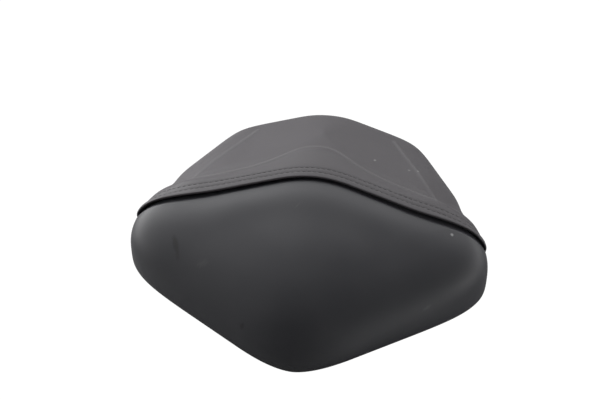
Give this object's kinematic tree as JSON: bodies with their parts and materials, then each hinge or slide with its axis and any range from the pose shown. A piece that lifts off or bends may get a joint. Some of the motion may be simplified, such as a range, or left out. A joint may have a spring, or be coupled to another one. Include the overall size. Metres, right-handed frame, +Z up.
{
  "type": "motorcycle pillion seat",
  "caption": "Black motorcycle pillion seat pad: smooth shield-shaped nose panel, sitting panel with raised stitched hem, moulded pan with striker loop, hook tongues and rubber feet.",
  "frame": {"origin": "under the middle of the seat, on the surface that its rubber feet rest on", "axes": "+X to the seat's right, +Y from the nose to the tail, +Z up"},
  "size_m": [0.2628, 0.2276, 0.0889],
  "materials": {
    "shield_vinyl": "satin",
    "seat_vinyl": "matte",
    "staple_steel": "satin",
    "foam": "matte",
    "pan_plastic": "matte",
    "zinc_steel": "satin",
    "foot_rubber": "matte"
  },
  "bodies": {
    "root": {"shield_cover_panel": "shield_vinyl", "seat_cover_panel": "seat_vinyl", "cover_staples": "staple_steel", "foam_cushion": "foam", "seat_pan": "pan_plastic", "latch_striker": "zinc_steel", "striker_screws": "zinc_steel", "foot_front_left": "foot_rubber", "foot_front_right": "foot_rubber", "foot_side_left": "foot_rubber", "foot_side_right": "foot_rubber"}
  },
  "joints": []
}
